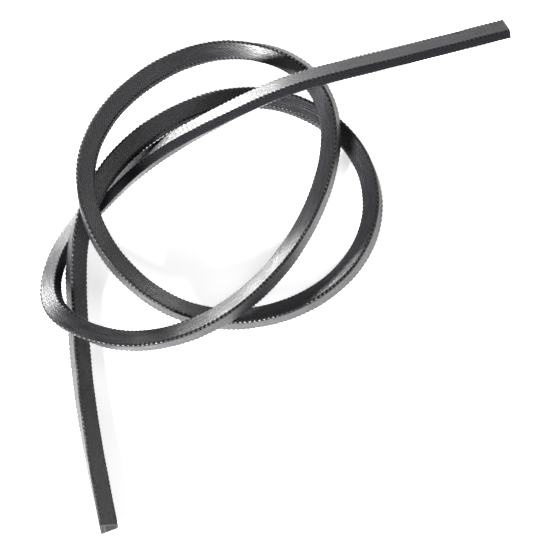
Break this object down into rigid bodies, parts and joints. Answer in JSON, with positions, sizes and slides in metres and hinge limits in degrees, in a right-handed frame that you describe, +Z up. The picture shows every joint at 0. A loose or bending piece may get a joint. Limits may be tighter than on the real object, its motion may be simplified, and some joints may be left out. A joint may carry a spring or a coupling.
{
  "type": "v belt",
  "caption": "Open-ended length of wrapped narrow V-belt, lying in loose interlaced loops with both cut ends free.",
  "frame": {"origin": "middle of the belt's box in plan, on the surface that the belt lies on", "axes": "+Z up off the surface, +Y along the longer side of the loops' box, away from the tail that runs straight out; +X towards the raised tail's cut end"},
  "size_m": [0.2068, 0.2308, 0.0301],
  "materials": {
    "outer_jacket_fabric": "rubbered bias-woven cotton and polyester, charcoal, satin from the mould",
    "inner_jacket_fabric": "rubbered bias-woven fabric, dark grey, matt cut edge",
    "top_rubber": "matt black",
    "cushion_rubber": "matt brown-black",
    "cord_yarn": "twisted polyester yarn, dipped, cream",
    "compression_rubber": "matt black with short fibres across it"
  },
  "bodies": {
    "root": {"cover_outer_ply": "outer_jacket_fabric", "cover_inner_ply": "inner_jacket_fabric", "top_rubber": "top_rubber", "upper_cushion": "cushion_rubber", "lower_cushion": "cushion_rubber", "tensile_cord_1": "cord_yarn", "tensile_cord_2": "cord_yarn", "tensile_cord_3": "cord_yarn", "tensile_cord_4": "cord_yarn", "tensile_cord_5": "cord_yarn", "compression_rubber": "compression_rubber"}
  },
  "joints": []
}
